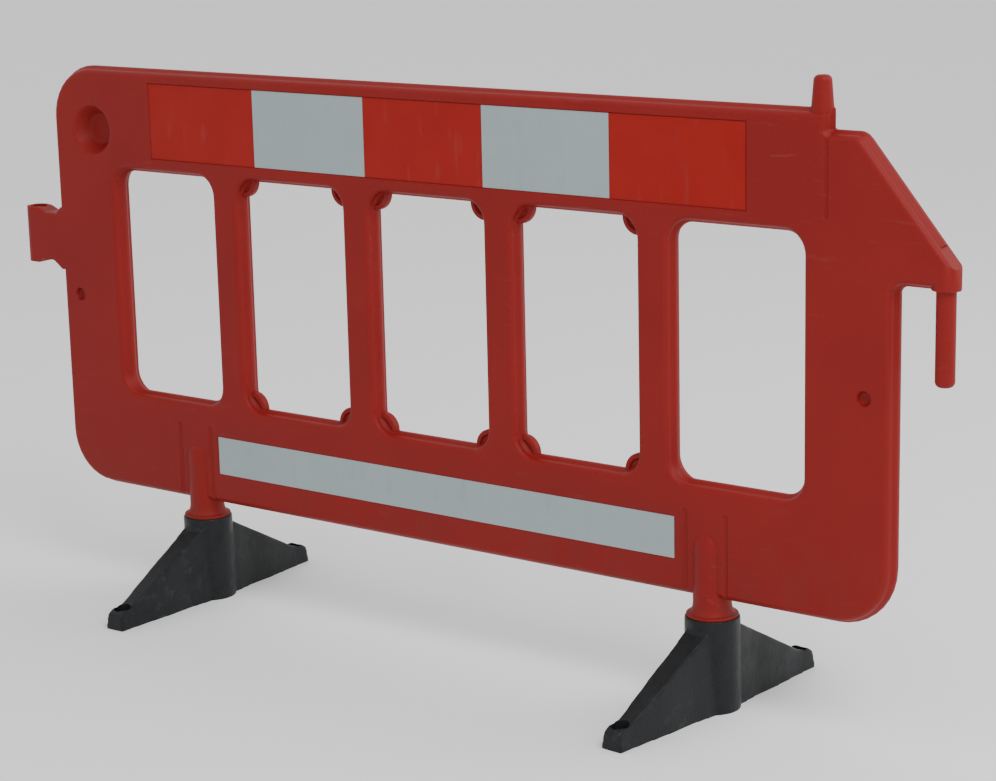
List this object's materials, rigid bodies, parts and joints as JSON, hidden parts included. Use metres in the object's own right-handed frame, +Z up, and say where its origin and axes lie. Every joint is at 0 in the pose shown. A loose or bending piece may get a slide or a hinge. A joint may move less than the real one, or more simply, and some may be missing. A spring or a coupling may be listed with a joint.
{
  "type": "pedestrian barrier",
  "caption": "Interlocking moulded pedestrian barrier panel with open windows, reflective sheets, a coupling pin and sleeve, and swivelling anti-trip feet.",
  "frame": {"origin": "on the ground, midway between the coupling pin's and the coupling sleeve's axes, under the middle of the panel", "axes": "+X along the panel from the sleeve to the pin, +Y from the front face to the rear face, +Z up"},
  "size_m": [2.006, 0.5284, 1.05],
  "materials": {
    "panel_plastic": "satin blow-moulded polyethylene",
    "foot_rubber": "moulded recycled rubber, slightly shiny",
    "red_reflective": "retroreflective sheet",
    "white_reflective": "retroreflective sheet"
  },
  "bodies": {
    "panel": {"barrier_panel": "panel_plastic", "front_sheet_1": "red_reflective", "front_sheet_2": "white_reflective", "front_sheet_3": "red_reflective", "front_sheet_4": "white_reflective", "front_sheet_5": "red_reflective", "rear_sheet_1": "red_reflective", "rear_sheet_2": "white_reflective", "rear_sheet_3": "red_reflective", "rear_sheet_4": "white_reflective", "rear_sheet_5": "red_reflective", "front_strip": "white_reflective", "rear_strip": "white_reflective"},
    "left_foot": {"left_foot": "foot_rubber"},
    "right_foot": {"right_foot": "foot_rubber"}
  },
  "joints": [
    {"name": "left_foot_swivel", "type": "hinge", "parent": "panel", "child": "left_foot", "pos_m": [-0.566, 0, 0.1], "axis": [0, 0, 1], "continuous": true},
    {"name": "right_foot_swivel", "type": "hinge", "parent": "panel", "child": "right_foot", "pos_m": [0.566, 0, 0.1], "axis": [0, 0, 1], "continuous": true}
  ]
}
